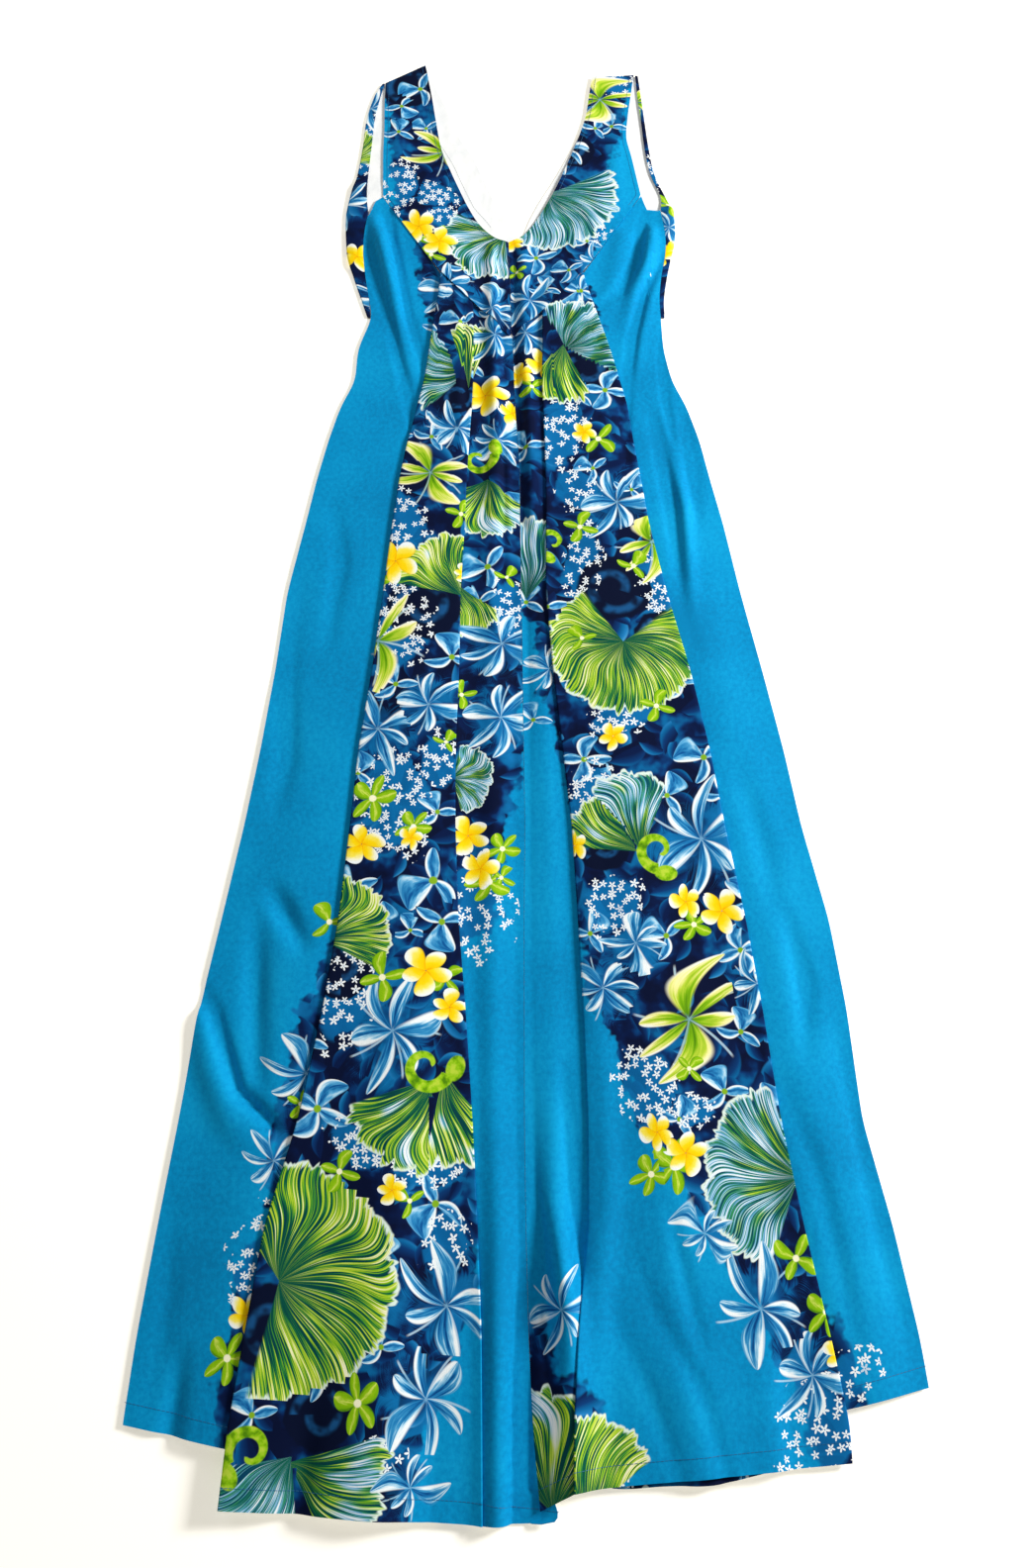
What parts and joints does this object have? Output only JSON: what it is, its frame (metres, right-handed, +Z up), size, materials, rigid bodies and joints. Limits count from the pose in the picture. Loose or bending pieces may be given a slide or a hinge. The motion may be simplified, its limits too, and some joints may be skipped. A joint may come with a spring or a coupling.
{
  "type": "sleeveless long gown laid flat",
  "caption": "Long sleeveless gown with a deep V neck, V-shaped bust yoke and box-pleated printed front bands, laid flat face up.",
  "frame": {"origin": "centre of the floor rectangle that the gown covers, on the surface it lies on", "axes": "+Y towards the shoulders, -Y towards the hem, +Z up out of the front, -X the gown's left edge as pictured"},
  "size_m": [0.6039, 1.44, 0.0171],
  "materials": {
    "printed_cotton": "plain-woven cotton with a floral print on a navy ground, soft sheen",
    "turquoise_cotton": "plain-woven turquoise cotton, printed bands down the front, soft sheen"
  },
  "bodies": {
    "root": {"front_yoke_left": "printed_cotton", "front_yoke_right": "printed_cotton", "back_bodice_left": "printed_cotton", "back_bodice_right": "printed_cotton", "front_skirt_left": "turquoise_cotton", "front_skirt_right": "turquoise_cotton", "back_skirt_left": "turquoise_cotton", "back_skirt_right": "turquoise_cotton"}
  },
  "joints": []
}
